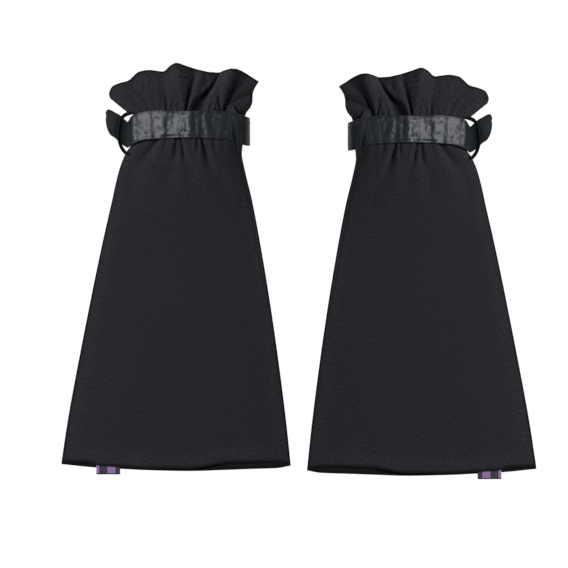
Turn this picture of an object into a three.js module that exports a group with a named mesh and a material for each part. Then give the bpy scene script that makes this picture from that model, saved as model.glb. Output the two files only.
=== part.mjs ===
// A pair of flared leg warmers laid flat: gathered neck with a ruffle header, a strap in two
// carriers round the neck, and a ribbon tab in the hem. Millimetres, +Z up, +Y towards the
// ruffle, and the outer side of the first leg warmer towards -X. The second one is its mirror.
import * as THREE from 'three';

// Walls and seams
const CLOTH = 1.2;
const STRAP = 2.0;
const CARRIER = 1.2;
const TAB = 1.0;
const SEAM_GAP = 0.3;
const CARRIER_GAP = 0.5;
const PANEL_STEP = CLOTH + SEAM_GAP;

// Driving sizes of one leg warmer, with x from the middle of the hem and y up from the hem
const BAND_LOW = 341;
const BAND_HIGH = 371;
const INNER_WIDTH = 8;
const OUTER_WIDTH = 5.5;
const TAB_WIDTH = 25;
const TAB_LEFT = -83.5;
const LEG_LOFT = 2.4;
const RISE_FROM = 205;
const RISE_FULL = 343;
const RISE_POWER = 1.5;

// Heights up the leg where forms fade in and out under the strap: the ruffle's hollows, the
// gathers of the leg, and the back panel's step over the strap
const HOLLOW_FROM = 349;
const HOLLOW_FULL = 366;
const GATHER_FULL = 345;
const GATHER_END = 363;
const STEP_FROM = 324;
const STEP_FULL = 335;

// The back panel's waves at the neck, as a share of those on its free edge, and the share of
// the half width at which it starts to rise to the side seam
const NECK_WAVE = 0.4;
const SIDE_RISE = 0.86;

// From the middle of a sloping cloth wall up to its top
const CLOTH_ABOVE = 1.1;

// Placing of the two: half the distance between their hem middles, and how much lower the
// mirrored one lies
const HALF_SPACING = 129;
const SECOND_LOWER = 5;

// Plan outline of the leg and neck: a row for each height where its slope changes
const OUTLINE = [
  { y: -6, outer: -121.5, inner: 121.2 },
  { y: 48, outer: -113.4, inner: 115.5 },
  { y: 132, outer: -97.8, inner: 104.6 },
  { y: 216, outer: -80.9, inner: 91.5 },
  { y: 279, outer: -66.9, inner: 79.6 },
  { y: 311, outer: -59.1, inner: 71.9 },
  { y: 328, outer: -52.3, inner: 68.9 },
  { y: 334.5, outer: -47.8, inner: 69.4 },
  { y: 337.6, outer: -44.8, inner: 69.9 },
  { y: 340.2, outer: -41.3, inner: 70.2 },
  { y: 356, outer: -40.4, inner: 72.0 },
  { y: 367.5, outer: -41.6, inner: 72.5 },
  { y: 371, outer: -50.6, inner: 73.6 },
];

// Lower edges of the two panels, over the share of the way from outer to inner side
const HEM = [
  { share: 0.0, front: 4.6, back: 2.1 },
  { share: 0.125, front: 3.6, back: -1.0 },
  { share: 0.162, front: 0.9, back: -1.7 },
  { share: 0.26, front: -0.6, back: -2.9 },
  { share: 0.38, front: -2.4, back: -4.3 },
  { share: 0.56, front: -2.4, back: -5.2 },
  { share: 0.71, front: 2.8, back: -4.1 },
  { share: 0.81, front: 4.0, back: -3.2 },
  { share: 0.94, front: 4.4, back: -2.1 },
  { share: 1.0, front: 1.6, back: 0.5 },
];

// Height of the side seams between the two panels, down the leg, at the neck and in the ruffle
const SEAM_HEIGHT = [
  { y: -6, outer: 1.35, inner: 1.35 },
  { y: 270, outer: 1.35, inner: 1.35 },
  { y: 335, outer: 4.2, inner: 5.0 },
  { y: 356, outer: 4.2, inner: 5.6 },
  { y: 371, outer: 4.2, inner: 5.0 },
];

// Height of the front cloth at the neck, over the share of the way from outer to inner side
const NECK_CROWN = [
  { share: 0.0, z: 0 },
  { share: 0.025, z: 1.6 },
  { share: 0.06, z: 3.0 },
  { share: 0.11, z: 4.8 },
  { share: 0.165, z: 7.4 },
  { share: 0.22, z: 9.9 },
  { share: 0.424, z: 13.9 },
  { share: 0.6, z: 16.0 },
  { share: 0.75, z: 16.2 },
  { share: 0.87, z: 14.3 },
  { share: 0.94, z: 10.2 },
  { share: 0.98, z: 4.6 },
  { share: 1.0, z: 0 },
];

// Ruffle of the front panel: a row for each ridge or hollow, with its x on the neck line, the
// place of its end on the free edge, and how far it dips below the strap at the neck
const FRONT_RUFFLE = [
  { neck: -50.6, x: -68.8, y: 386.0, z: 3.0, dip: 0 },
  { neck: -47.5, x: -69.9, y: 390.7, z: 4.5, dip: 0.5 },
  { neck: -43.0, x: -66.5, y: 397.9, z: 7.0, dip: 0 },
  { neck: -36.0, x: -58.4, y: 401.4, z: 9.8, dip: 0 },
  { neck: -28.0, x: -49.6, y: 404.2, z: 8.6, dip: 1 },
  { neck: -21.0, x: -38.0, y: 413.4, z: 10.6, dip: 0.5 },
  { neck: -14.0, x: -27.4, y: 415.0, z: 11.6, dip: 0 },
  { neck: -8.7, x: -13.7, y: 413.5, z: 10.4, dip: 2.2 },
  { neck: -3.0, x: -5.0, y: 419.5, z: 14.0, dip: 0.4 },
  { neck: 8.6, x: 1.2, y: 421.9, z: 18.0, dip: 0 },
  { neck: 10.4, x: 11.4, y: 419.0, z: 14.0, dip: 1.6 },
  { neck: 11.8, x: 21.5, y: 416.1, z: 9.0, dip: 4.4 },
  { neck: 14.4, x: 28.5, y: 414.2, z: 12.8, dip: 1.6 },
  { neck: 20.0, x: 36.5, y: 412.9, z: 10.6, dip: 5 },
  { neck: 26.5, x: 45.0, y: 412.7, z: 6.5, dip: 7.6 },
  { neck: 33.5, x: 52.2, y: 414.6, z: 12.6, dip: 1 },
  { neck: 41.0, x: 59.3, y: 415.8, z: 19.8, dip: 0 },
  { neck: 47.0, x: 63.6, y: 415.6, z: 18.0, dip: 1.2 },
  { neck: 51.0, x: 66.8, y: 414.8, z: 14.6, dip: 3.6 },
  { neck: 56.5, x: 72.6, y: 412.2, z: 10.6, dip: 3.8 },
  { neck: 63.0, x: 79.4, y: 408.0, z: 7.0, dip: 3.4 },
  { neck: 69.0, x: 84.6, y: 404.8, z: 5.4, dip: 1.6 },
  { neck: 73.6, x: 86.8, y: 403.2, z: 4.2, dip: 0 },
];

// Ruffle of the back panel, which lies on the floor in its hollows
const BACK_RUFFLE = [
  { neck: -50.6, x: -68.8, y: 386.0, z: 1.5 },
  { neck: -44.0, x: -66.0, y: 396.5, z: 0.6 },
  { neck: -35.0, x: -56.5, y: 400.0, z: 2.6 },
  { neck: -25.0, x: -44.0, y: 407.5, z: 0.6 },
  { neck: -15.0, x: -29.0, y: 413.2, z: 3.0 },
  { neck: -6.0, x: -15.0, y: 411.8, z: 0.6 },
  { neck: 3.0, x: -3.0, y: 418.0, z: 3.2 },
  { neck: 13.0, x: 11.0, y: 417.0, z: 0.6 },
  { neck: 22.0, x: 25.0, y: 413.0, z: 2.8 },
  { neck: 32.0, x: 40.0, y: 410.8, z: 0.6 },
  { neck: 42.0, x: 54.0, y: 413.6, z: 3.2 },
  { neck: 51.0, x: 65.0, y: 412.0, z: 0.6 },
  { neck: 61.0, x: 76.5, y: 407.0, z: 2.2 },
  { neck: 73.6, x: 86.8, y: 404.0, z: 2.5 },
];

// Gathers below the strap: a row for each trough, from the strap's edge to where it fades
const GATHERS = [
  { x: -18.5, footX: -46, footY: 311, dip: 2.8, width: 4.0 },
  { x: 2.0, footX: 0, footY: 318, dip: 2.4, width: 2.6 },
  { x: 6.5, footX: 13, footY: 318, dip: 4.0, width: 3.2 },
  { x: 23.5, footX: 25, footY: 323, dip: 2.4, width: 2.6 },
  { x: 29.0, footX: 40, footY: 305, dip: 3.6, width: 3.2 },
  { x: 40.5, footX: 43, footY: 324, dip: 2.2, width: 2.6 },
];

// Route of the strap: x and z of its middle, and y of its lower and upper edges. It starts
// under its own outer end, goes down round the outer side, along the floor, up round the inner
// side, back over the front, dips through the outer carrier and ends in the rounded tail.
const STRAP_ROUTE = [
  { x: -31.0, z: 12.0, low: 342.0, high: 368.0 },
  { x: -38.0, z: 9.2, low: 341.0, high: 367.0 },
  { x: -43.6, z: 6.2, low: 340.0, high: 366.0 },
  { x: -45.2, z: 3.6, low: 339.5, high: 366.5 },
  { x: -43.4, z: 1.4, low: 339.5, high: 368.5 },
  { x: -37.0, z: 1.0, low: 339.5, high: 369.5 },
  { x: 10.0, z: 1.0, low: 339.5, high: 369.5 },
  { x: 66.0, z: 1.0, low: 338.4, high: 368.4 },
  { x: 75.0, z: 3.0, low: 336.8, high: 366.2 },
  { x: 77.0, z: 7.4, low: 335.8, high: 365.2 },
  { x: 75.4, z: 12.0, low: 335.6, high: 365.6 },
  { x: 71.2, z: 17.2, low: 336.2, high: 367.0 },
  { x: 65.2, z: 21.4, low: 338.4, high: 369.2 },
  { x: 57.0, z: 24.0, low: 340.6, high: 370.8 },
  { x: 42.0, z: 24.6, low: 342.2, high: 371.6 },
  { x: 20.0, z: 24.6, low: 343.2, high: 371.9 },
  { x: 4.0, z: 21.9, low: 343.2, high: 371.6 },
  { x: -18.0, z: 18.2, low: 342.5, high: 372.8 },
  { x: -33.0, z: 14.4, low: 341.4, high: 371.6 },
  { x: -42.5, z: 11.0, low: 338.2, high: 369.2 },
  { x: -46.0, z: 8.8, low: 336.3, high: 367.0 },
  { x: -49.4, z: 5.8, low: 334.4, high: 362.2 },
  { x: -50.6, z: 4.9, low: 333.9, high: 361.2 },
  { x: -52.2, z: 5.1, low: 334.6, high: 362.4 },
  { x: -58.6, z: 6.3, low: 338.8, high: 368.2 },
  { x: -63.2, z: 7.6, low: 343.6, high: 370.7 },
  { x: -68.2, z: 9.4, low: 347.2, high: 373.4 },
  { x: -70.9, z: 10.8, low: 353.0, high: 373.9 },
  { x: -72.0, z: 11.4, low: 359.5, high: 372.4 },
  { x: -72.4, z: 11.7, low: 364.2, high: 369.8 },
];

// Carriers: the middle of the strip, and for the inner one its turn from lying flat (0) to
// standing on edge (90). The outer one stands on edge, and its upper edge leans outwards by a
// share of its width.
const INNER_CARRIER = [
  { x: 57.2, y: 377.0, turn: 10 },
  { x: 59.0, y: 372.6, turn: 12 },
  { x: 62.9, y: 365.4, turn: 16 },
  { x: 65.0, y: 357.6, turn: 36 },
  { x: 66.4, y: 350.0, turn: 50 },
  { x: 67.0, y: 342.0, turn: 58 },
  { x: 67.0, y: 334.6, turn: 56 },
  { x: 66.4, y: 328.0, turn: 48 },
];
const OUTER_CARRIER = [
  { x: -45.6, y: 370.2, z: 11.4, lean: 0.5 },
  { x: -48.6, y: 369.6, z: 11.0, lean: 0.6 },
  { x: -52.0, y: 368.4, z: 10.7, lean: 0.62 },
  { x: -55.3, y: 366.0, z: 10.5, lean: 0.5 },
  { x: -57.4, y: 361.5, z: 10.4, lean: 0.3 },
  { x: -58.8, y: 352.0, z: 10.8, lean: 0.36 },
  { x: -59.2, y: 342.5, z: 10.8, lean: 0.4 },
  { x: -57.4, y: 335.8, z: 10.4, lean: 0.55 },
  { x: -54.2, y: 330.4, z: 10.6, lean: 0.62 },
  { x: -50.6, y: 326.8, z: 11.2, lean: 0.5 },
];

// Fall of the tab, from inside the hem to its folded end
const TAB_FALL = [
  { y: 9.0, z: 2.0 },
  { y: 2.0, z: 2.0 },
  { y: -4.0, z: 2.0 },
  { y: -8.6, z: 1.7 },
];

// Grid of a panel: heights of the rows on the leg and neck, and shares of the ruffle's length
const LEG_ROWS = [0, 0.04, 0.2, 0.38, 0.55, 0.68, 0.78, 0.86, 0.915, 0.955, 0.985, 1];
const BAND_ROWS = [350, 360, 367.5];
const RUFFLE_ROWS = [0, 0.12, 0.3, 0.53, 0.78, 1];
const COLUMNS_A_FOLD = 2;
const EDGE_BOW = 2.6;
const BOW_FROM = 52;
const BOW_FULL = 74;
const RUFFLE_SEARCH = 12;

// Rows of the strap's route that make its front run, and steps from one row to the next
const FRONT_RUN_FROM = 9;
const FRONT_RUN_TO = 20;
const STRAP_STEPS = 2;
const STRAP_REACH = 3.5;

// Curves through tables

const { lerp, smoothstep, degToRad } = THREE.MathUtils;
const ease = (t) => t * t * (3 - 2 * t);

// Value of one column of a table at a place, by a cubic that never leaves its neighbours' range
function along(rows, key, column, place) {
  const last = rows.length - 1;
  const slope = (i) => (rows[i + 1][column] - rows[i][column]) / (rows[i + 1][key] - rows[i][key]);
  const tangent = (i) => {
    if (i === 0) return slope(0);
    if (i === last) return slope(last - 1);
    const before = slope(i - 1);
    const after = slope(i);
    return before * after <= 0 ? 0 : (2 * before * after) / (before + after);
  };
  let i = 0;
  while (i < last - 1 && place > rows[i + 1][key]) i += 1;
  const span = rows[i + 1][key] - rows[i][key];
  const t = THREE.MathUtils.clamp((place - rows[i][key]) / span, 0, 1);
  const lean = span * t * (1 - t);
  return lerp(rows[i][column], rows[i + 1][column], ease(t))
    + lean * ((1 - t) * tangent(i) - t * tangent(i + 1));
}

// The same table with a column that counts its rows
const counted = (rows) => rows.map((row, i) => ({ ...row, count: i }));

// Rows between the rows of a table, with so many steps from each one to the next
function finer(rows, steps) {
  const table = counted(rows);
  const all = [];
  for (let i = 0; i <= (rows.length - 1) * steps; i += 1) {
    const row = {};
    for (const column of Object.keys(rows[0])) row[column] = along(table, 'count', column, i / steps);
    all.push(row);
  }
  return all;
}

// Places on the leg and neck

const outerAt = (y) => along(OUTLINE, 'y', 'outer', y);
const innerAt = (y) => along(OUTLINE, 'y', 'inner', y);
const xAt = (share, y) => lerp(outerAt(y), innerAt(y), share);
const shareAt = (x, y) => (x - outerAt(y)) / (innerAt(y) - outerAt(y));
const seamAt = (share, y) => lerp(
  along(SEAM_HEIGHT, 'y', 'outer', y), along(SEAM_HEIGHT, 'y', 'inner', y), share);

const hemAt = (share, panel) => along(HEM, 'share', panel, share);

// Depth of the gathers below the strap
function gatherAt(x, y) {
  let depth = 0;
  for (const g of GATHERS) {
    const t = Math.max((BAND_LOW - y) / (BAND_LOW - g.footY), 0);
    const fade = 1 - smoothstep(t, 0, 1);
    const under = 1 - smoothstep(y, GATHER_FULL, GATHER_END);
    const off = (x - lerp(g.x, g.footX, t)) / (g.width * (1 + t));
    depth += g.dip * fade * under * Math.exp(-off * off);
  }
  return depth;
}

// Middle of the front wall on the leg and neck
function frontLeg(share, y, dip) {
  const across = 2 * share - 1;
  const flat = LEG_LOFT * (1 - across ** 4);
  const crown = along(NECK_CROWN, 'share', 'z', share);
  const rise = smoothstep(y, RISE_FROM, RISE_FULL) ** RISE_POWER;
  const dips = dip * smoothstep(y, HOLLOW_FROM, HOLLOW_FULL);
  const height = lerp(flat, crown, rise) - dips - gatherAt(xAt(share, y), y);
  return seamAt(share, y) + PANEL_STEP / 2 + Math.max(height, 0);
}

// Middle of the back wall on the leg and neck: on the floor, and over the strap at the neck
function backLeg(share, y, wave) {
  const over = smoothstep(y, STEP_FROM, STEP_FULL);
  const floor = CLOTH / 2 + over * (STRAP + SEAM_GAP + NECK_WAVE * wave);
  const across = Math.abs(2 * share - 1);
  const seam = seamAt(share, y) - PANEL_STEP / 2;
  return lerp(floor, seam, smoothstep(across, SIDE_RISE, 1));
}

// Middle surface of a panel as rows of points, from the hem to the ruffle's free edge
function panelRows(ruffle, legHeight, panel) {
  const folds = counted(ruffle);
  const columns = (folds.length - 1) * COLUMNS_A_FOLD;
  const rows = [];
  const at = (count) => {
    const fold = {};
    for (const column of ['neck', 'x', 'y', 'z', 'dip']) {
      fold[column] = column in folds[0] ? along(folds, 'count', column, count) : 0;
    }
    fold.share = shareAt(fold.neck, BAND_HIGH);
    fold.wave = fold.z - CLOTH / 2;
    return fold;
  };
  const line = (place) => {
    const points = [];
    for (let i = 0; i <= columns; i += 1) points.push(place(at(i / COLUMNS_A_FOLD)));
    rows.push(points);
  };
  for (const t of LEG_ROWS) {
    line((fold) => {
      const y = lerp(hemAt(fold.share, panel), BAND_LOW, t);
      return new THREE.Vector3(xAt(fold.share, y), y, legHeight(fold, y));
    });
  }
  for (const y of BAND_ROWS) {
    line((fold) => new THREE.Vector3(xAt(fold.share, y), y, legHeight(fold, y)));
  }
  for (const t of RUFFLE_ROWS) {
    line((fold) => {
      const z = lerp(legHeight(fold, BAND_HIGH), fold.z, ease(t));
      const bow = EDGE_BOW * smoothstep(fold.neck, BOW_FROM, BOW_FULL) * Math.sin(2 * Math.PI * t) * (1 - t / 2);
      return new THREE.Vector3(lerp(fold.neck, fold.x, t) + bow, lerp(BAND_HIGH, fold.y, t), z);
    });
  }
  return rows;
}

// Closed wall of even thickness on both sides of a grid of points
function wall(rows, thickness) {
  const across = rows[0].length;
  const normals = rows.map((row, j) => row.map((point, i) => {
    const up = rows[Math.min(j + 1, rows.length - 1)][i].clone().sub(rows[Math.max(j - 1, 0)][i]);
    const side = row[Math.min(i + 1, across - 1)].clone().sub(row[Math.max(i - 1, 0)]);
    return side.cross(up).normalize();
  }));
  const points = [];
  for (const half of [thickness / 2, -thickness / 2]) {
    rows.forEach((row, j) => row.forEach((point, i) => {
      points.push(point.clone().addScaledVector(normals[j][i], half));
    }));
  }
  const count = across * rows.length;
  const faces = [];
  const quad = (a, b, c, d) => faces.push(a, b, c, a, c, d);
  for (let j = 0; j < rows.length - 1; j += 1) {
    for (let i = 0; i < across - 1; i += 1) {
      const a = j * across + i;
      quad(a, a + 1, a + across + 1, a + across);
      quad(a + count, a + across + count, a + across + 1 + count, a + 1 + count);
    }
  }
  const rim = [];
  for (let i = 0; i < across - 1; i += 1) rim.push(i);
  for (let j = 0; j < rows.length - 1; j += 1) rim.push(j * across + across - 1);
  for (let i = across - 1; i > 0; i -= 1) rim.push((rows.length - 1) * across + i);
  for (let j = rows.length - 1; j > 0; j -= 1) rim.push(j * across);
  rim.forEach((a, k) => {
    const b = rim[(k + 1) % rim.length];
    quad(b, a, a + count, b + count);
  });
  const geometry = new THREE.BufferGeometry();
  geometry.setAttribute('position', new THREE.Float32BufferAttribute(points.flatMap((p) => p.toArray()), 3));
  geometry.setIndex(faces);
  geometry.computeVertexNormals();
  return geometry;
}

// Two rows of points for a strip, along the edges beside its middle line
function edges(stations) {
  return [-1, 1].map((side) => stations.map((s) => s.middle.clone().addScaledVector(s.half, side)));
}

// Heights that a carrier rests on

// Top of the strap's front run, higher above its middle where it slopes
function strapTop(x) {
  const run = finer(STRAP_ROUTE.slice(FRONT_RUN_FROM, FRONT_RUN_TO), STRAP_STEPS).reverse();
  const after = Math.max(run.findIndex((row) => row.x > x), 1);
  const [a, b] = [run[after - 1], run[after]];
  const slope = (b.z - a.z) / (b.x - a.x);
  return a.z + slope * (x - a.x) + (STRAP / 2) * Math.hypot(1, slope);
}

// Top of the front panel's ruffle at a place, found on the nearest of its folds
function ruffleTop(x, y) {
  const near = finer(FRONT_RUFFLE, RUFFLE_SEARCH).map((fold) => {
    const t = (y - BAND_HIGH) / (fold.y - BAND_HIGH);
    const neck = frontLeg(shareAt(fold.neck, BAND_HIGH), BAND_HIGH, fold.dip);
    return { off: Math.abs(lerp(fold.neck, fold.x, t) - x), z: lerp(neck, fold.z, ease(t)) };
  });
  return near.reduce((best, one) => (one.off < best.off ? one : best)).z + CLOTH_ABOVE;
}

function restHeight(x, y) {
  if (y > BAND_HIGH + STRAP_REACH) return ruffleTop(x, y);
  const clothTop = frontLeg(shareAt(x, y), y, 0) + CLOTH_ABOVE;
  return y > BAND_LOW - 2 * STRAP_REACH ? Math.max(strapTop(x), clothTop) : clothTop;
}

// Pieces

const frontPanel = () => wall(
  panelRows(FRONT_RUFFLE, (fold, y) => frontLeg(fold.share, y, fold.dip), 'front'), CLOTH);

const backPanel = () => wall(
  panelRows(BACK_RUFFLE, (fold, y) => backLeg(fold.share, y, fold.wave), 'back'), CLOTH);

function strap() {
  const stations = finer(STRAP_ROUTE, STRAP_STEPS).map((row) => ({
    middle: new THREE.Vector3(row.x, (row.low + row.high) / 2, row.z),
    half: new THREE.Vector3(0, (row.high - row.low) / 2, 0),
  }));
  return wall(edges(stations), STRAP);
}

// The inner carrier lies over the strap, seated just above whatever its edges meet first
function innerCarrier() {
  const stations = finer(INNER_CARRIER, 2).map((row) => {
    const turn = degToRad(row.turn);
    const half = new THREE.Vector3(Math.cos(turn), 0, -Math.sin(turn)).multiplyScalar(INNER_WIDTH / 2);
    const seats = [-1, -0.75, -0.5, -0.25, 0, 0.5, 1].map(
      (side) => restHeight(row.x + side * half.x, row.y) - side * half.z);
    const z = Math.max(...seats) + (CARRIER_GAP + CARRIER / 2) / Math.cos(turn);
    return { middle: new THREE.Vector3(row.x, row.y, z), half };
  });
  return wall(edges(stations), CARRIER);
}

// The outer carrier stands on its edge round the strap
function outerCarrier() {
  const rows = finer(OUTER_CARRIER, 2);
  const stations = rows.map((row, i) => {
    const [a, b] = [rows[Math.max(i - 1, 0)], rows[Math.min(i + 1, rows.length - 1)]];
    const outward = new THREE.Vector3(b.y - a.y, a.x - b.x, 0).setLength(row.lean);
    const half = outward.setZ(Math.sqrt(1 - row.lean ** 2)).multiplyScalar(OUTER_WIDTH / 2);
    return { middle: new THREE.Vector3(row.x, row.y, row.z), half };
  });
  return wall(edges(stations), CARRIER);
}

// The tab lies on the back panel inside the hem and hangs out below it
function tab() {
  const stations = TAB_FALL.map((row) => ({
    middle: new THREE.Vector3(TAB_LEFT + TAB_WIDTH / 2, row.y, row.z),
    half: new THREE.Vector3(TAB_WIDTH / 2, 0, 0),
  }));
  return wall(edges(stations), TAB);
}

// Finishes
const finish = (name, color, roughness) => new THREE.MeshStandardMaterial({ name, color, roughness });
const cloth = finish('cloth', 0x242327, 0.95);
const leather = finish('strap', 0x16181a, 0.4);
const ribbon = finish('tab', 0x6b4a86, 0.6);

// One leg warmer
function legWarmer(side) {
  const group = new THREE.Group();
  const pieces = [
    ['front', frontPanel(), cloth],
    ['back', backPanel(), cloth],
    ['strap', strap(), leather],
    ['inner_carrier', innerCarrier(), cloth],
    ['outer_carrier', outerCarrier(), cloth],
    ['tab', tab(), ribbon],
  ];
  for (const [name, geometry, material] of pieces) {
    const mesh = new THREE.Mesh(geometry, material);
    mesh.name = `${side}_${name}`;
    group.add(mesh);
  }
  return group;
}

// The pair, side by side, with the origin under the middle of its box
const left = legWarmer('left');
left.position.x = -HALF_SPACING;
const right = legWarmer('right');
right.position.set(HALF_SPACING, -SECOND_LOWER, 0);
right.scale.x = -1;

const pair = new THREE.Group();
pair.add(left, right);
pair.updateMatrixWorld(true);
const box = new THREE.Box3().setFromObject(pair);
const middle = box.getCenter(new THREE.Vector3());
pair.position.set(-middle.x, -middle.y, -box.min.z);

export default pair;
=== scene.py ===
import bpy
import numpy as np
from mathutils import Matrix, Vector, noise
from mathutils.bvhtree import BVHTree


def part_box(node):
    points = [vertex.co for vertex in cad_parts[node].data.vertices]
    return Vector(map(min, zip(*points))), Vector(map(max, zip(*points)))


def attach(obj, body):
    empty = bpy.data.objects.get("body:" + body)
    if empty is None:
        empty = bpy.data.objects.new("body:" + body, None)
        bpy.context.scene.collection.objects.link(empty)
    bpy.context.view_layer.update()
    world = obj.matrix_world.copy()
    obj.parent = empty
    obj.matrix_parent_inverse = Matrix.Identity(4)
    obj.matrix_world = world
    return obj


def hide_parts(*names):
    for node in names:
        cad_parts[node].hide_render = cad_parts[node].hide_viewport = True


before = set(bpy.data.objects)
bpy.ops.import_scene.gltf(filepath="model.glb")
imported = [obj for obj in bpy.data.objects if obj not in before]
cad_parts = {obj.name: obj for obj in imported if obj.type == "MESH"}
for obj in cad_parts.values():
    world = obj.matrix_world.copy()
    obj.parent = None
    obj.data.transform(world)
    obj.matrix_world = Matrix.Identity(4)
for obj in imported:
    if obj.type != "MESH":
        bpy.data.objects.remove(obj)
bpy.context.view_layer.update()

MM = 0.001

# Walls as they look
CLOTH = 0.9
STRAP = 1.9
CARRIER = 1.1
RIBBON = 0.42

# Driving sizes, the same as the solids have. The band is the gathered neck under the strap.
SOLID_CLOTH = 1.2
SOLID_STRAP = 2.0
SEAM_GAP = 0.3
PANEL_STEP = SOLID_CLOTH + SEAM_GAP
BAND_LOW = 341
BAND_HIGH = 371
INNER_WIDTH = 8
OUTER_WIDTH = 5.5
TAB_WIDTH = 25
TAB_LEFT = -83.5

# Check of the ribbon: a dark and a light block together, and how far the pattern is shifted
CHECK = 17
CHECK_ALONG = -7.9
CHECK_ACROSS = -9.5

# The leg's loft over the floor, and the heights between which it rises to the neck, its hollows
# deepen, its gathers end, and the back steps over the strap
LEG_LOFT = 2.4
RISE_FROM = 205
RISE_FULL = 343
RISE_POWER = 1.5
HOLLOW_FROM = 349
HOLLOW_FULL = 366
GATHER_FULL = 345
GATHER_END = 363
STEP_FROM = 324
STEP_FULL = 335

# The back panel's waves at the neck, as a share of those on its free edge, and the share of the
# half width at which it starts to rise to the side seam
NECK_WAVE = 0.4
SIDE_RISE = 0.86

# Bow of the ruffle's inner edge, and where along the neck it starts and is full
EDGE_BOW = 2.6
BOW_FROM = 52
BOW_FULL = 74

# Placing of the two: half the distance between their hem middles, how much lower the mirrored
# one lies, and y of the hem line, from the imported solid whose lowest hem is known
HALF_SPACING = 129
SECOND_LOWER = 5
LOWEST_HEM = -5.2
ORIGIN_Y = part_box("left_back")[0].y / MM - LOWEST_HEM

# Flat size of one panel as it is cut, before it is gathered
CUT_HEM = 243
CUT_TOP = 196
CUT_LENGTH = 430


def table(names, *rows):
    """A table as one array for each named column, with a column that counts its rows."""
    columns = dict(zip(names.split(), np.array(rows, float).T))
    columns["count"] = np.arange(len(rows), dtype=float)
    return columns


# Plan outline of the leg and neck: a row for each height where its slope changes
OUTLINE = table(
    "y outer inner",
    (-6, -121.5, 121.2),
    (48, -113.4, 115.5),
    (132, -97.8, 104.6),
    (216, -80.9, 91.5),
    (279, -66.9, 79.6),
    (311, -59.1, 71.9),
    (328, -52.3, 68.9),
    (334.5, -47.8, 69.4),
    (337.6, -44.8, 69.9),
    (340.2, -41.3, 70.2),
    (356, -40.4, 72.0),
    (367.5, -41.6, 72.5),
    (371, -50.6, 73.6),
)

# Lower edges of the two panels, over the share of the way from outer to inner side
HEM = table(
    "share front back",
    (0.0, 4.6, 2.1),
    (0.125, 3.6, -1.0),
    (0.162, 0.9, -1.7),
    (0.26, -0.6, -2.9),
    (0.38, -2.4, -4.3),
    (0.56, -2.4, -5.2),
    (0.71, 2.8, -4.1),
    (0.81, 4.0, -3.2),
    (0.94, 4.4, -2.1),
    (1.0, 1.6, 0.5),
)

# Height of the side seams between the two panels, up the leg and at the neck
SEAM_HEIGHT = table(
    "y outer inner",
    (-6, 1.35, 1.35),
    (270, 1.35, 1.35),
    (335, 4.2, 5.0),
    (356, 4.2, 5.6),
    (371, 4.2, 5.0),
)

# Height of the front cloth over its seams at the neck, over the share of the way across
NECK_CROWN = table(
    "share z",
    (0.0, 0),
    (0.025, 1.6),
    (0.06, 3.0),
    (0.11, 4.8),
    (0.165, 7.4),
    (0.22, 9.9),
    (0.424, 13.9),
    (0.6, 16.0),
    (0.75, 16.2),
    (0.87, 14.3),
    (0.94, 10.2),
    (0.98, 4.6),
    (1.0, 0),
)

# Ruffles: a row for each ridge or hollow, with its x on the neck line, the place of its end on
# the free edge, and how far the front one dips below the strap at the neck
FRONT_RUFFLE = table(
    "neck x y z dip",
    (-50.6, -68.8, 386.0, 3.0, 0),
    (-47.5, -69.9, 390.7, 4.5, 0.5),
    (-43.0, -66.5, 397.9, 7.0, 0),
    (-36.0, -58.4, 401.4, 9.8, 0),
    (-28.0, -49.6, 404.2, 8.6, 1),
    (-21.0, -38.0, 413.4, 10.6, 0.5),
    (-14.0, -27.4, 415.0, 11.6, 0),
    (-8.7, -13.7, 413.5, 10.4, 2.2),
    (-3.0, -5.0, 419.5, 14.0, 0.4),
    (8.6, 1.2, 421.9, 18.0, 0),
    (10.4, 11.4, 419.0, 14.0, 1.6),
    (11.8, 21.5, 416.1, 9.0, 4.4),
    (14.4, 28.5, 414.2, 12.8, 1.6),
    (20.0, 36.5, 412.9, 10.6, 5),
    (26.5, 45.0, 412.7, 6.5, 7.6),
    (33.5, 52.2, 414.6, 12.6, 1),
    (41.0, 59.3, 415.8, 19.8, 0),
    (47.0, 63.6, 415.6, 18.0, 1.2),
    (51.0, 66.8, 414.8, 14.6, 3.6),
    (56.5, 72.6, 412.2, 10.6, 3.8),
    (63.0, 79.4, 408.0, 7.0, 3.4),
    (69.0, 84.6, 404.8, 5.4, 1.6),
    (73.6, 86.8, 403.2, 4.2, 0),
)
BACK_RUFFLE = table(
    "neck x y z",
    (-50.6, -68.8, 386.0, 1.5),
    (-44.0, -66.0, 396.5, 0.6),
    (-35.0, -56.5, 400.0, 2.6),
    (-25.0, -44.0, 407.5, 0.6),
    (-15.0, -29.0, 413.2, 3.0),
    (-6.0, -15.0, 411.8, 0.6),
    (3.0, -3.0, 418.0, 3.2),
    (13.0, 11.0, 417.0, 0.6),
    (22.0, 25.0, 413.0, 2.8),
    (32.0, 40.0, 410.8, 0.6),
    (42.0, 54.0, 413.6, 3.2),
    (51.0, 65.0, 412.0, 0.6),
    (61.0, 76.5, 407.0, 2.2),
    (73.6, 86.8, 404.0, 2.5),
)

# Creases in the cloth, each a soft trough along a line from (x1, y1) to (x3, y3) that bends
# towards (x2, y2), or a ridge where its depth is negative. It is as wide as width1 at its start
# and width3 at its end, start and end are the shares of its depth that it has there, and its
# sides are steeper where hard is larger.
CREASE_COLUMNS = "x1 y1 x2 y2 x3 y3 depth width1 width3 start end hard"

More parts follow.
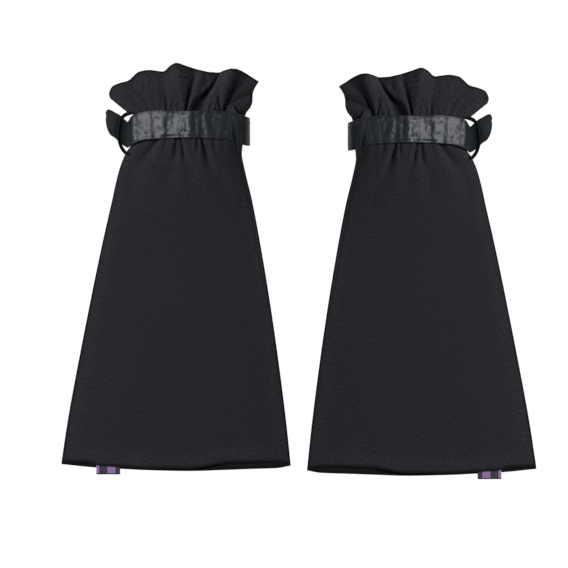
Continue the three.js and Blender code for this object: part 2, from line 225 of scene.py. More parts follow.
# Gathers below the strap, then the long soft falls down the leg
LEG_CREASES = table(
    CREASE_COLUMNS,
    (-18.0, 344, -27, 327, -47, 308, 5.6, 2.8, 6.4, 1, 0, 1.6),
    (-29.5, 344, -35, 333, -42, 326, 0.4, 1.6, 2.4, 1, 0, 1.6),
    (-9.0, 344, -11, 336, -13, 328, 0.7, 1.5, 2.6, 1, 0, 1.6),
    (-4.5, 344, -5, 335, -6, 329, 0.3, 1.1, 1.8, 1, 0, 1.6),
    (2.0, 344, 1.5, 331, -2.0, 312, 4.4, 1.8, 3.6, 1, 0, 1.6),
    (5.8, 344, 7.6, 334, 11.0, 316, 6.2, 1.7, 3.2, 1, 0, 1.6),
    (12.6, 344, 13.4, 336, 15.5, 329, 0.4, 1.2, 1.8, 1, 0, 1.6),
    (17.0, 344, 17.6, 337, 18.2, 333, 0.5, 1.1, 1.7, 1, 0, 1.6),
    (23.4, 344, 23.8, 335, 24.6, 324, 3.4, 1.4, 2.2, 1, 0, 1.6),
    (27.6, 344, 31.5, 330, 40.0, 304, 5.8, 1.7, 4.4, 1, 0, 1.6),
    (34.4, 344, 35.6, 337, 38.0, 330, 0.3, 1.2, 1.8, 1, 0, 1.6),
    (40.4, 344, 41.2, 336, 43.0, 329, 1.8, 1.5, 2.4, 1, 0, 1.6),
    (48.5, 344, 50.5, 335, 53.5, 327, 0.5, 1.4, 2.2, 1, 0, 1.6),
    (57.0, 342, 60.0, 333, 64.0, 325, 0.6, 1.5, 2.2, 1, 0, 1.6),
    (-45, 314, -50, 292, -43, 262, 1.5, 7, 11, 0.6, 0, 1.6),
    (-3, 322, -8, 300, -10, 282, 1.5, 5, 8, 0.5, 0, 1.6),
    (38, 312, 52, 290, 62, 262, 1.4, 5, 9, 0.6, 0, 1.6),
    (12, 320, 17, 300, 19, 284, 1.3, 4.5, 7, 0.5, 0, 1.6),
    (-58, 296, -64, 272, -70, 246, 0.5, 5, 8, 0, 0, 1.6),
    (-20, 268, -34, 200, -30, 120, 0.45, 16, 22, 0, 0, 1.6),
    (30, 255, 46, 180, 40, 100, 0.4, 15, 20, 0, 0, 1.6),
    (-86, 190, -70, 150, -74, 96, 0.35, 12, 16, 0, 0, 1.6),
    (72, 205, 66, 160, 82, 104, 0.35, 12, 16, 0, 0, 1.6),
    (-60, 60, -20, 48, 24, 66, 0.4, 13, 17, 0, 0, 1.6),
    (20, 34, 52, 22, 92, 30, 0.45, 10, 14, 0, 0, 1.6),
    (-52, 8, -40, 20, -22, 30, 0.7, 6, 9, 0.7, 0, 1.6),
    (52, 6, 58, 22, 74, 38, 0.6, 6, 9, 0.7, 0, 1.6),
)

# Creases of the front ruffle, most of them from the strap up into its hollows
RUFFLE_CREASES = table(
    CREASE_COLUMNS,
    (11.4, 369, 13.2, 386, 20.0, 407, 3.0, 1.0, 2.2, 1, 0.5, 1.6),
    (9.0, 372, 13.0, 388, 18.0, 402, 1.4, 2.0, 3.4, 1, 0, 1.6),
    (13.4, 372, 16.0, 383, 25.0, 389.5, -1.1, 0.8, 1.2, 1, 0.4, 1.6),
    (24.0, 369, 25.5, 380, 33.0, 391, 5.0, 7.4, 2.4, 1, 0.9, 3.2),
    (29.5, 386, 38.0, 395, 45.5, 409, 4.4, 1.8, 1.8, 0.4, 0.5, 1.8),
    (33.0, 374, 35.0, 384, 42.5, 393, -0.9, 1.4, 2.0, 1, 0.2, 1.6),
    (35.6, 369, 36.4, 376, 40.0, 384, 2.4, 1.1, 1.7, 1, 0, 1.6),
    (48.6, 369, 42.5, 386, 48.6, 400, 3.8, 1.3, 2.4, 1, 0, 1.6),
    (50.4, 369, 57.0, 388, 66.8, 408, 4.6, 1.5, 3.2, 1, 0.4, 1.6),
    (44.0, 369, 42.6, 376, 42.0, 384, 2.0, 1.0, 1.6, 1, 0, 1.6),
    (56.0, 378, 66.0, 386, 79.0, 389, 4.4, 2.6, 4.6, 0.5, 0.9, 1.6),
    (58.0, 384, 66.0, 396, 74.0, 408, 3.6, 3.0, 4.6, 0.6, 0.7, 1.6),
    (61.0, 369, 63.0, 374, 66.0, 379, 1.6, 1.1, 1.8, 1, 0, 1.6),
    (-8.9, 369, -8.8, 385, -10.0, 397, 2.3, 1.0, 2.2, 1, 0, 1.4),
    (-7.0, 374, -3.4, 388, 1.8, 400, -0.9, 1.2, 2.0, 1, 0, 1.6),
    (3.8, 369, 3.6, 378, 2.2, 386, 1.7, 1.0, 1.6, 1, 0, 1.6),
    (-2.6, 369, -2.8, 376, -4.6, 383, 1.2, 1.0, 1.8, 1, 0, 1.6),
    (7.0, 369, 7.0, 376, 5.2, 384, 0.9, 0.8, 1.4, 1, 0, 1.6),
    (-13.5, 369, -14.5, 377, -18.0, 386, 0.9, 1.1, 2.2, 1, 0, 1.6),
    (-18.5, 369, -20.5, 378, -25.0, 390, 0.7, 1.3, 2.6, 1, 0, 1.6),
    (-26.0, 370, -30.5, 382, -40.0, 395, 1.9, 1.6, 3.2, 1, 0, 1.6),
    (-32.5, 380, -42.0, 395, -63.0, 398, -1.2, 1.6, 2.8, 0.6, 0.6, 1.6),
    (-33.0, 371, -44.0, 386, -58.0, 391, 1.7, 1.8, 3.4, 1, 0, 1.6),
    (-41.0, 372, -50.0, 380, -61.0, 387, 0.7, 1.6, 3.0, 1, 0, 1.6),
    (-22.0, 394, -34.0, 401, -46.0, 403, 1.4, 2.6, 3.4, 0, 0, 1.6),
    (-21.0, 399, -24.0, 407, -25.0, 414, 0.6, 2.8, 3.4, 0, 0.6, 1.6),
    (30.0, 394, 32.0, 404, 33.0, 413, 1.3, 2.4, 3.0, 0, 0.6, 1.6),
    (4.0, 396, 8.0, 406, 10.0, 418, 0.6, 2.4, 3.0, 0, 0.6, 1.6),
)

# Gathers of the back panel, which rise off the floor into the leg, then its long soft falls
BACK_CREASES = table(
    CREASE_COLUMNS,
    (-31.0, 338, -36, 326, -45, 308, 1.5, 1.8, 4.0, 1, 0, 1.6),
    (-21.0, 338, -23, 328, -24, 316, 1.9, 1.6, 3.0, 1, 0, 1.6),
    (-12.5, 338, -15, 322, -22, 300, 2.2, 1.7, 4.4, 1, 0, 1.6),
    (-4.0, 338, -4.5, 330, -5.0, 320, 1.3, 1.3, 2.2, 1, 0, 1.6),
    (5.5, 338, 7, 324, 6, 304, 2.3, 1.7, 3.8, 1, 0, 1.6),
    (12.5, 338, 13.5, 330, 16.0, 322, 1.2, 1.3, 2.0, 1, 0, 1.6),
    (21.0, 338, 24, 326, 30, 306, 2.1, 1.7, 4.0, 1, 0, 1.6),
    (31.5, 338, 33, 330, 34.0, 318, 1.5, 1.4, 2.6, 1, 0, 1.6),
    (41.0, 338, 46, 324, 53, 300, 2.0, 1.7, 4.4, 1, 0, 1.6),
    (52.0, 337, 55, 329, 59, 320, 1.2, 1.5, 2.4, 1, 0, 1.6),
    (-24, 296, -34, 250, -30, 200, 0.5, 9, 15, 0, 0, 1.6),
    (8, 300, 14, 252, 8, 204, 0.45, 8, 14, 0, 0, 1.6),
    (50, 296, 60, 244, 58, 190, 0.5, 9, 15, 0, 0, 1.6),
    (-62, 150, -20, 128, 30, 142, 0.4, 12, 17, 0, 0, 1.6),
    (-20, 60, 24, 78, 78, 64, 0.45, 12, 16, 0, 0, 1.6),
)

# Wrinkles across the strap's front run: the middle of each, how far it leans from the strap's
# upper to its lower edge, and where it starts and ends, from -1 at the upper edge to 1 at the
# lower one
STRAP_WRINKLES = table(
    "x lean depth width low high",
    (-41.0, 0.6, 0.32, 2.4, -1.2, 1.2),
    (-37.5, 1.5, 0.12, 2.2, -1.0, 0.3),
    (-21.5, 1.0, 0.55, 5.0, -1.2, 1.2),
    (-5.0, -1.6, 0.6, 5.0, -1.2, 1.2),
    (-9.5, 2.4, 0.22, 1.3, -0.2, 1.0),
    (-1.5, -2.2, 0.24, 1.2, -1.0, 0.1),
    (4.6, 1.8, 0.3, 1.3, -1.0, -0.2),
    (8.6, -2.6, 0.26, 1.2, -0.3, 1.0),
    (10.0, 2.4, 0.3, 1.3, -0.9, 0.1),
    (14.2, -1.2, -0.5, 3.4, -1.2, 1.0),
    (20.6, 1.6, 0.2, 1.4, -1.2, 0.6),
    (24.4, 1.0, -0.3, 1.3, 0.1, 1.2),
    (27.5, -1.5, 0.3, 1.3, -0.8, 0.9),
    (33.0, 1.8, -0.25, 2.6, -1.2, 0.4),
    (59.5, 8.0, 0.9, 2.6, -1.2, 1.2),
)

# Route of the strap: x and z of its middle, and y of its lower and upper edges
STRAP_ROUTE = table(
    "x z low high",
    (-31.0, 12.0, 342.0, 368.0),
    (-38.0, 9.2, 341.0, 367.0),
    (-43.6, 6.2, 340.0, 366.0),
    (-45.2, 3.6, 339.5, 366.5),
    (-43.4, 1.4, 339.5, 368.5),
    (-37.0, 1.0, 339.5, 369.5),
    (10.0, 1.0, 339.5, 369.5),
    (66.0, 1.0, 338.4, 368.4),
    (75.0, 3.0, 336.8, 366.2),
    (77.0, 7.4, 335.8, 365.2),
    (75.4, 12.0, 335.6, 365.6),
    (71.2, 17.2, 336.2, 367.0),
    (65.2, 21.4, 338.4, 369.2),
    (57.0, 24.0, 340.6, 370.8),
    (42.0, 24.6, 342.2, 371.6),
    (20.0, 24.6, 343.2, 371.9),
    (4.0, 21.9, 343.2, 371.6),
    (-18.0, 18.2, 342.5, 372.8),
    (-33.0, 14.4, 341.4, 371.6),
    (-42.5, 11.0, 338.2, 369.2),
    (-46.0, 8.8, 336.3, 367.0),
    (-49.4, 5.8, 334.4, 362.2),
    (-50.6, 4.9, 333.9, 361.2),
    (-52.2, 5.1, 334.6, 362.4),
    (-58.6, 6.3, 338.8, 368.2),
    (-63.2, 7.6, 343.6, 370.7),
    (-68.2, 9.4, 347.2, 373.4),
    (-70.9, 10.8, 353.0, 373.9),
    (-72.0, 11.4, 359.5, 372.4),
    (-72.4, 11.7, 364.2, 369.8),
)

# Soft dents of the strap: how far apart they are and how deep, the half width they are laid
# over, and the share of their depth that they have off the front run
CRUMPLES = ((13, 0.50), (6.2, 0.36), (3.4, 0.25))
CRUMPLE_WIDTH = 15
TAIL_CRUMPLE = 0.4

# How far outside its ends a wrinkle has faded away, and how far inside them it is full
WRINKLE_FADE_OUT = 0.25
WRINKLE_FADE_IN = 0.15

# Rows of the route between which the strap lies on the front
FRONT_RUN_FROM = 11
FRONT_RUN_TO = 19

# Carriers: the middle of the strip, and for the inner one its turn from lying flat (0) to
# standing on edge (90). The outer one stands on edge, and its upper edge leans outwards by a
# share of its width.
INNER_CARRIER = table(
    "x y turn",
    (57.2, 377.0, 10),
    (59.0, 372.6, 12),
    (62.9, 365.4, 16),
    (65.0, 357.6, 36),
    (66.4, 350.0, 50),
    (67.0, 342.0, 58),
    (67.0, 334.6, 56),
    (66.4, 328.0, 48),
)
OUTER_CARRIER = table(
    "x y z lean",
    (-45.6, 370.2, 11.4, 0.5),
    (-48.6, 369.6, 11.0, 0.6),
    (-52.0, 368.4, 10.7, 0.62),
    (-55.3, 366.0, 10.5, 0.5),
    (-57.4, 361.5, 10.4, 0.3),
    (-58.8, 352.0, 10.8, 0.36),
    (-59.2, 342.5, 10.8, 0.4),
    (-57.4, 335.8, 10.4, 0.55),
    (-54.2, 330.4, 10.6, 0.62),
    (-50.6, 326.8, 11.2, 0.5),
)

# Fall of the folded tab: the middle of its upper layer, round the fold and back as the lower one
TAB_FOLD = table(
    "y z",
    (9.0, 2.27),
    (2.0, 2.27),
    (-4.0, 2.27),
    (-7.6, 2.02),
    (-8.45, 1.72),
    (-7.7, 1.45),
    (-4.0, 1.72),
    (2.0, 1.72),
    (9.0, 1.72),
)

# Grids: steps between the rows of a table, points across a strip, and the parts of a panel's
# leg, each with where it starts and ends as a share of the leg and its number of rows, then
# points up the band and up the ruffle
FRONT_COLUMNS = 10
BACK_COLUMNS = 12
STRAP_STEPS = 16
CARRIER_STEPS = 7
TAB_STEPS = 4
STRAP_ACROSS = 27
CARRIER_ACROSS = 13
TAB_ACROSS = 25
CREASE_SAMPLES = 24
STITCH_SIDES = 6
FRONT_LEG_ROWS = ((0, 0.06, 11), (0.06, 0.74, 47), (0.74, 1, 67))
BACK_LEG_ROWS = ((0, 0.06, 9), (0.06, 0.78, 39), (0.78, 1, 39))
FRONT_BAND_POINTS = 18
BACK_BAND_POINTS = 10
FRONT_RUFFLE_POINTS = 44
BACK_RUFFLE_POINTS = 26

# Raised rim beside a crease: its height as a share of the depth, and its place and breadth in
# widths of the crease. Then the places along a crease where it has faded in and where it starts
# to fade out, and the heights between which the ruffle's creases come in.
CREASE_RIM = 0.22
CREASE_RIM_PLACE = 2.1
CREASE_RIM_BREADTH = 0.9
CREASE_FADE_IN = 0.35
CREASE_FADE_OUT = 0.4
RUFFLE_CREASES_FROM = 363
RUFFLE_CREASES_FULL = 370

# Inner carrier: its bulge, how far it lies above what it crosses, how many places across it are
# seated, how far it may settle below its seat when its heights are smoothed over a window, and a
# height above everything, from which its seats are looked for
CARRIER_CROWN = 0.7
CARRIER_LIFT = 0.2
CARRIER_SEATS = 9
CARRIER_SETTLE = 0.35
SETTLE_WINDOW = 9
ABOVE_ALL = 60

# Sewing: the turned hems and their stitches, the groove along the inner seam, and the groove
# along the strap's edges, which has its stitches on the inside of the strap's loop
HEM_DEPTH = 9.0
HEM_RAISE = 0.3
HEM_EASE = 1.2
HEM_STITCH_INSET = 1.6
RUFFLE_HEM = 3.0
RUFFLE_STITCH_INSET = 0.8
RUFFLE_LENGTH = 46
SEAM_GROOVE = 0.8
SEAM_GROOVE_WIDTH = 0.9
SEAM_GROOVE_START = (170, 215)
SEAM_GROOVE_END = (322, 334)
SEAM_INSET = 3.4
STITCH_PITCH = 3.0
STITCH_LENGTH = 2.3
STITCH_RADIUS = 0.2
STRAP_STITCH_INSET = 2.2
EDGE_GROOVE = 0.45
EDGE_GROOVE_WIDTH = 0.6

# Tones of the cloth: painted shade on the outer carrier and painted light on the inner one, the
# breadth of the painted shade along the cut edges (wider on the back panel, where it also stands
# for the shade inside the hem's opening), the painted lighter band inside it, and the heights
# between which the cloth grows rumpled by the gathers
OUTER_PAINTED_SHADE = -0.6
INNER_PAINTED_LIGHT = 0.12
FRONT_EDGE_SHADE = 1.9
BACK_EDGE_SHADE = 5.0
PAINTED_LIGHT_LIFT = 0.09
PAINTED_LIGHT_FROM = 9
PAINTED_LIGHT_SPREAD = 8
GATHERED_FROM = 230
GATHERED_TO = 350

# Colours, with places on a ramp where there are several, and the pitch of the twill's ribs and
# of the ribbon's threads
# The darkest stop is there for painted shade along the cloth's edges and on the outer carrier.
CLOTH_TONES = (
    (0.10, (0.0004, 0.0004, 0.0006)),
    (0.36, (0.0071, 0.0067, 0.0092)),
    (0.50, (0.0132, 0.0124, 0.0162)),
    (0.64, (0.0245, 0.0232, 0.0292)),
)
STRAP_TONES = ((0.3, (0.0100, 0.0133, 0.0152)), (0.7, (0.0135, 0.0178, 0.0198)))
CHECK_TONES = (
    (0.0, (0.255, 0.152, 0.345)),
    (0.5, (0.034, 0.027, 0.042)),
    (1.0, (0.012, 0.010, 0.016)),
)
CLOTH_THREAD = (0.022, 0.021, 0.025)
STRAP_THREAD = (0.030, 0.032, 0.034)
WORLD_COLOUR = (0.055, 0.071, 0.079, 1)
SOFTBOX_COLOUR = (1.0, 0.985, 1.02)
TWILL_PITCH = 0.75
RIBBON_PITCH = 0.5

# Softboxes, in metres and watts: place outwards from the middle of the pair and up, size and
# power. The fill stands on the inner side and lights the strap alone.
KEY = (1.36, 1.8, 0.85, 1.3, 60)
FILL = (-1.25, 1.1, 1.2, 1.2, 6.5)
SOFTBOX_Y = 0.45
SOFTBOX_AIM_Y = 0.05

# Floor and camera: half the floor and how far it lies under the solids, in metres, the width
# that the picture shows and the camera's height, in millimetres, then its place and how far it
# sees, in metres, and its sensor
FLOOR_REACH = 4.0
FLOOR_Z = -0.0003
PICTURE_WIDTH = 596.4
CAMERA_HEIGHT = 3000
CAMERA_PLACE = (-0.0156, -0.0130)
CAMERA_SIGHT = 50
SENSOR_WIDTH = 36


# Curves through tables and places on the leg


def ease(t):
    return t * t * (3 - 2 * t)


def step(value, low, high):
    return ease(np.clip((value - low) / (high - low), 0, 1))


def mix(a, b, t):
    return a + (b - a) * t


def along(rows, key, column, place):
    """Value of a column at a place, by a cubic that never leaves its neighbours' range."""
    keys, values = rows[key], rows[column]
    slopes = np.diff(values) / np.diff(keys)
    before, after = slopes[:-1], slopes[1:]
    same = before * after > 0
    between = np.where(same, 2 * before * after / np.where(same, before + after, 1), 0)
    tangents = np.concatenate([slopes[:1], between, slopes[-1:]])
    i = np.clip(np.searchsorted(keys, place) - 1, 0, len(keys) - 2)
    span = keys[i + 1] - keys[i]
    t = np.clip((place - keys[i]) / span, 0, 1)
    lean = span * t * (1 - t)
    return mix(values[i], values[i + 1], ease(t)) + lean * ((1 - t) * tangents[i] - t * tangents[i + 1])


def finer(rows, steps):
    """The same table with rows between its rows."""
    last = len(rows["count"]) - 1
    count = np.linspace(0, last, last * steps + 1)
    return {column: along(rows, "count", column, count) for column in rows}


def x_at(share, y):
    return mix(along(OUTLINE, "y", "outer", y), along(OUTLINE, "y", "inner", y), share)


def share_at(x, y):
    outer = along(OUTLINE, "y", "outer", y)
    return (x - outer) / (along(OUTLINE, "y", "inner", y) - outer)


def seam_at(share, y):
    return mix(along(SEAM_HEIGHT, "y", "outer", y), along(SEAM_HEIGHT, "y", "inner", y), share)


def crease_depth(rows, x, y):
    """Depth of all the creases of a table at these places."""
    depth = np.zeros_like(x)
    t = np.linspace(0, 1, CREASE_SAMPLES)
    for i in range(len(rows["count"])):
        c = {name: rows[name][i] for name in rows}
        line_x = (1 - t) ** 2 * c["x1"] + 2 * t * (1 - t) * c["x2"] + t * t * c["x3"]
        line_y = (1 - t) ** 2 * c["y1"] + 2 * t * (1 - t) * c["y2"] + t * t * c["y3"]
        reach = 4 * max(c["width1"], c["width3"])
        near = (x > line_x.min() - reach) & (x < line_x.max() + reach)
        near &= (y > line_y.min() - reach) & (y < line_y.max() + reach)
        dx = np.subtract.outer(x[near], line_x[:-1])
        dy = np.subtract.outer(y[near], line_y[:-1])
        ex, ey = np.diff(line_x), np.diff(line_y)
        part = np.clip((dx * ex + dy * ey) / (ex * ex + ey * ey), 0, 1)
        away = np.hypot(dx - part * ex, dy - part * ey)
        nearest = away.argmin(axis=1)
        pick = np.arange(len(nearest))
        place = (nearest + part[pick, nearest]) / (CREASE_SAMPLES - 1)
        off = away[pick, nearest] / mix(c["width1"], c["width3"], place)
        rim = CREASE_RIM * np.exp(-(((off - CREASE_RIM_PLACE) / CREASE_RIM_BREADTH) ** 2))
        fade = mix(c["start"], 1, step(place, 0, CREASE_FADE_IN))
        fade = fade * mix(1, c["end"], step(place, CREASE_FADE_OUT, 1))
        depth[near] += c["depth"] * fade * (np.exp(-(off ** c["hard"])) - rim)
    return depth


def front_leg(share, y, dip, x):
    """Middle of the front wall on the leg and under the strap."""
    across = 2 * share - 1
    flat = LEG_LOFT * (1 - across**4)
    crown = along(NECK_CROWN, "share", "z", share)
    rise = step(y, RISE_FROM, RISE_FULL) ** RISE_POWER
    dips = dip * step(y, HOLLOW_FROM, HOLLOW_FULL)
    gathers = crease_depth(LEG_CREASES, x, y) * (1 - step(y, GATHER_FULL, GATHER_END))
    height = mix(flat, crown, rise) - dips - gathers
    return seam_at(share, y) + PANEL_STEP / 2 + np.maximum(height, 0)


def back_leg(share, y, wave, x):
    """Middle of the back wall: on the floor, and over the strap at the neck."""
    over = step(y, STEP_FROM, STEP_FULL)
    floor = SOLID_CLOTH / 2 + over * (SOLID_STRAP + SEAM_GAP + NECK_WAVE * wave)
    floor += crease_depth(BACK_CREASES, x, y).clip(0) * (1 - over)
    across = np.abs(2 * share - 1)
    return mix(floor, seam_at(share, y) - PANEL_STEP / 2, step(across, SIDE_RISE, 1))


def grid_rows(*parts):
    """Places of rows, from parts that each name a start, an end and a number of steps."""
    starts = [np.linspace(low, high, steps + 1)[:-1] for low, high, steps in parts]
    return np.concatenate([*starts, [parts[-1][1]]])


def panel(ruffle, columns, hem, leg_height, leg_rows, band_rows, ruffle_rows):
    """Middle surface of a panel: x, y, z, share and cut length as grids, and the ruffle's share."""
    fold = finer(ruffle, columns)
    share = share_at(fold["neck"], BAND_HIGH)
    low = along(HEM, "share", hem, share)
    leg_y = mix(low, BAND_LOW, leg_rows[:, None])
    band_y = np.broadcast_to(band_rows[:, None], (len(band_rows), len(share)))
    y = np.concatenate([leg_y, band_y])
    x = x_at(share, y)
    z = leg_height(fold, share, y, x)
    t = ruffle_rows[:, None]
    neck_y = np.full((1, len(share)), float(BAND_HIGH))
    neck_z = leg_height(fold, share, neck_y, fold["neck"][None, :])
    bow = EDGE_BOW * step(fold["neck"], BOW_FROM, BOW_FULL) * np.sin(2 * np.pi * t) * (1 - t / 2)
    top_x = mix(fold["neck"], fold["x"], t) + bow
    top_y = mix(BAND_HIGH, fold["y"], t)
    top_z = mix(neck_z, fold["z"], ease(t))
    grid = {
        "x": np.concatenate([x, top_x]),
        "y": np.concatenate([y, top_y]),
        "z": np.concatenate([z, top_z]),
        "up": np.concatenate([y - low, np.broadcast_to(BAND_HIGH + RUFFLE_LENGTH * t, top_x.shape)]),
    }
    grid["share"] = np.broadcast_to(share, grid["x"].shape)
    free = np.concatenate([np.zeros((len(y), 1)), t])
    grid["ruffle"] = np.broadcast_to(free, grid["x"].shape)
    return grid


# Meshes from grids


def spans(points, axis):
    """From the neighbour before each point to the one after it, along one axis of the grid."""
    first, last = points.take([0], axis), points.take([-1], axis)
    ahead = points.take(range(1, points.shape[axis]), axis)
    behind = points.take(range(points.shape[axis] - 1), axis)
    return np.concatenate([ahead, last], axis) - np.concatenate([first, behind], axis)


def unit(vectors):
    return vectors / np.maximum(np.linalg.norm(vectors, axis=-1, keepdims=True), 1e-9)


class Wall:
    """Closed wall round a grid of middle points, with each one's place on the cut and its tone: painted
    shade below zero, painted light above it.

    Its top is the side that the normals point to.
    """

    def __init__(self, points, thickness, cut):
        self.points = points
        self.normals = unit(np.cross(spans(points, 1), spans(points, 0)))
        half = self.normals * np.broadcast_to(np.asarray(thickness) / 2, points.shape[:2])[..., None]
        self.top = points + half
        self.verts = np.concatenate([(points + half).reshape(-1, 3), (points - half).reshape(-1, 3)])
        cut = np.pad(cut, ((0, 0), (0, 0), (0, 3 - cut.shape[-1])))
        flat = np.broadcast_to(cut, points.shape)
        self.cut = np.concatenate([flat.reshape(-1, 3), flat.reshape(-1, 3)])
        size = points.shape[0] * points.shape[1]
        index = np.arange(size).reshape(points.shape[:2])
        a, b, c, d = index[:-1, :-1], index[:-1, 1:], index[1:, 1:], index[1:, :-1]
        top = np.stack([a, b, c, d], -1).reshape(-1, 4)
        bottom = np.stack([a, d, c, b], -1).reshape(-1, 4) + size
        rim = np.concatenate([index[0, :-1], index[:-1, -1], index[-1, :0:-1], index[:0:-1, 0]])
        after = np.roll(rim, -1)
        sides = np.stack([after, rim, rim + size, after + size], -1)
        self.faces = np.concatenate([top, bottom, sides])


class Joined:
    """Several small closed meshes as one."""

    def __init__(self):
        self.parts = []
        self.rings = []
        self.total = 0

    def add(self, verts, faces):
        self.parts.append(verts)
        self.rings.extend((faces + self.total).tolist())
        self.total += len(verts)

    @property
    def verts(self):
        return np.concatenate(self.parts)

    @property
    def faces(self):
        return self.rings

    @property
    def cut(self):
        return self.verts


def strip(middles, halves, thickness, across, relief=0.0, tone=0.0):
    """Wall for a strip with rounded edges. relief moves its points along their normals."""
    s = np.sin(np.linspace(-np.pi / 2, np.pi / 2, across))
    points = middles[:, None, :] + halves[:, None, :] * s[None, :, None]
    normals = unit(np.cross(spans(points, 1), spans(points, 0)))
    points = points + normals * np.broadcast_to(relief, points.shape[:2])[..., None]
    width = np.linalg.norm(halves, axis=-1)[:, None]
    inset = width * (1 - np.abs(s))[None, :]
    length = np.concatenate([[0], np.cumsum(np.linalg.norm(np.diff(middles, axis=0), axis=1))])
    to_end = np.minimum(length, length[-1] - length)[:, None]
    radius = thickness / 2
    edge = np.clip(np.minimum(inset, to_end) / radius, 0.02, 1)
    profile = thickness * np.sqrt(1 - (1 - edge) ** 2)
    # tone is painted shade where it is below zero and painted light where it is above it, the same over
    # the whole strip.
    cut = np.stack(np.broadcast_arrays(length[:, None], width * s[None, :], tone), -1)
    return Wall(points, profile, cut)


def stitch_run(joined, path, normals):
    """Adds a row of small raised stitches along a path."""
    pitch, length, radius, sides = STITCH_PITCH, STITCH_LENGTH, STITCH_RADIUS, STITCH_SIDES
    run = np.concatenate([[0], np.cumsum(np.linalg.norm(np.diff(path, axis=0), axis=1))])
    places = np.arange(pitch / 2, run[-1] - pitch / 2, pitch)

    def at(values, where):
        return np.stack([np.interp(where, run, values[:, k]) for k in range(3)], -1)

    middle = at(path, places)
    ahead = unit(at(path, places + length / 2) - at(path, places - length / 2))
    up = unit(at(normals, places))
    side = np.cross(ahead, up)
    angles = np.linspace(0, 2 * np.pi, sides + 1)[:-1]
    ring = np.stack([np.cos(angles), np.sin(angles)], -1) * radius
    rings = ((-0.42, 0.7, 0.0), (0.0, 1.0, 0.35), (0.42, 0.7, 0.0))
    faces = []
    start, end, last = 3 * sides, 3 * sides + 1, 2 * sides
    for first in (0, sides):
        for j in range(sides):
            a, b = first + j, first + (j + 1) % sides
            faces.append((a, b, b + sides, a + sides))
    for j in range(sides):
        after = (j + 1) % sides
        faces.append((start, after, j, j))
        faces.append((end, last + j, last + after, last + after))
    faces = np.array(faces)
    for m, f, u, s in zip(middle, ahead, up, side):
        verts = [
            m + f * length * x + u * radius * lift + size * (ring[:, :1] * s + ring[:, 1:] * u)
            for x, size, lift in rings
        ]
        for way in (-1, 1):
            verts.append([m + way * f * length / 2 - u * radius * 0.8])
        joined.add(np.concatenate(verts), faces)


def make(name, shape, material, mirrored, nodes=()):
    """One piece of the left or right leg warmer as a Blender object on its body."""
    verts = shape.verts.copy()
    if mirrored:
        verts[:, 0] = HALF_SPACING - verts[:, 0]
        verts[:, 1] -= SECOND_LOWER
    else:
        verts[:, 0] -= HALF_SPACING
    verts[:, 1] += ORIGIN_Y
    faces = [list(dict.fromkeys(f)) for f in np.asarray(shape.faces).tolist()]
    if mirrored:
        faces = [f[::-1] for f in faces]
    mesh = bpy.data.meshes.new(name)
    mesh.from_pydata((verts * MM).tolist(), [], faces)
    cut = mesh.attributes.new("cut", "FLOAT_VECTOR", "POINT")
    cut.data.foreach_set("vector", np.ascontiguousarray(shape.cut, np.float32).ravel())
    mesh.polygons.foreach_set("use_smooth", [True] * len(mesh.polygons))
    mesh.materials.append(material)
    mesh.validate()
    mesh.update()
    piece = bpy.data.objects.new(name, mesh)
    bpy.context.scene.collection.objects.link(piece)
    if nodes:
        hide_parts(*nodes)
    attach(piece, "root")
    return piece


# Shapes of one leg warmer


def cut_place(grid, edge_shade):
    """Place on the flat cut, and the tone there: painted shade at the edge, a painted lighter band just
    inside it.
    """
    width = mix(CUT_HEM, CUT_TOP, np.clip(grid["up"] / CUT_LENGTH, 0, 1))
    side = np.minimum(grid["share"], 1 - grid["share"]) * width
    edge = np.minimum(np.minimum(side, grid["up"]), (1 - grid["ruffle"]) * RUFFLE_LENGTH)
    # Painted light: a lighter band just inside the edge. Painted shade: the edge itself made darker.
    painted_light = PAINTED_LIGHT_LIFT * np.exp(-(((edge - PAINTED_LIGHT_FROM) / PAINTED_LIGHT_SPREAD) ** 2))
    tone = painted_light - np.exp(-((edge / edge_shade) ** 4))
    return np.stack([(grid["share"] - 0.5) * width, grid["up"], tone], -1)


def hem_step(grid):
    """Raised fold of the hem, and of the ruffle's narrow hem."""
    low = 1 - step(grid["up"], HEM_DEPTH, HEM_DEPTH + HEM_EASE)
    to_edge = (1 - grid["ruffle"]) * RUFFLE_LENGTH
    high = 1 - step(to_edge, RUFFLE_HEM, RUFFLE_HEM + 1)
    return HEM_RAISE * (low + high)


def front_shape():
    band_rows = np.linspace(BAND_LOW, BAND_HIGH, FRONT_BAND_POINTS)[1:-1]
    grid = panel(
        FRONT_RUFFLE, FRONT_COLUMNS, "front",
        lambda fold, share, y, x: front_leg(share, y, fold["dip"], x),
        grid_rows(*FRONT_LEG_ROWS), band_rows, np.linspace(0, 1, FRONT_RUFFLE_POINTS))
    x, y, z = grid["x"], grid["y"], grid["z"]
    creases = crease_depth(RUFFLE_CREASES, x, y) * step(y, RUFFLE_CREASES_FROM, RUFFLE_CREASES_FULL)
    inset = along(OUTLINE, "y", "inner", y) - x
    groove = np.exp(-(((inset - SEAM_INSET) / SEAM_GROOVE_WIDTH) ** 2))
    groove *= step(y, *SEAM_GROOVE_START) * (1 - step(y, *SEAM_GROOVE_END))
    points = np.stack([x, y, z - creases - SEAM_GROOVE * groove], -1)
    return grid, Wall(points, CLOTH + hem_step(grid), cut_place(grid, FRONT_EDGE_SHADE))


